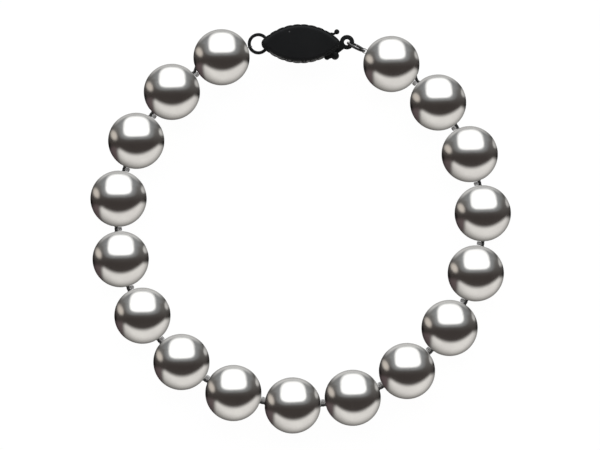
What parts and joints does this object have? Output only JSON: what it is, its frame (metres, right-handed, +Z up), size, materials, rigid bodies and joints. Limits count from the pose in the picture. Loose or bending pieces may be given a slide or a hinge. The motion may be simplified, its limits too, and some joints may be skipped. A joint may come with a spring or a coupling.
{
  "type": "pearl bracelet",
  "caption": "Strand of round silver-grey pearls with a knot between each pair, closed by a black marquise fish-hook clasp between two jump rings.",
  "frame": {"origin": "under the middle of the bracelet's bounding box, on the surface that the pearls rest on", "axes": "+Z up, +Y towards the clasp, +X along the clasp's long axis from its jump ring to its hook, seen from above"},
  "size_m": [0.071, 0.069, 0.0095],
  "materials": {
    "pearl": "silver-grey nacre, glossy with a soft lustre",
    "black_metal": "blackened metal, satin",
    "dark_metal": "dark polished wire",
    "thread": "twisted silk, charcoal"
  },
  "bodies": {
    "root": {"pearl_01": "pearl", "pearl_02": "pearl", "pearl_03": "pearl", "pearl_04": "pearl", "pearl_05": "pearl", "pearl_06": "pearl", "pearl_07": "pearl", "pearl_08": "pearl", "pearl_09": "pearl", "pearl_10": "pearl", "pearl_11": "pearl", "pearl_12": "pearl", "pearl_13": "pearl", "pearl_14": "pearl", "pearl_15": "pearl", "pearl_16": "pearl", "pearl_17": "pearl", "silk_thread": "thread", "jump_ring_left": "black_metal", "jump_ring_right": "dark_metal", "clasp_hook": "black_metal", "clasp_body": "black_metal"}
  },
  "joints": []
}
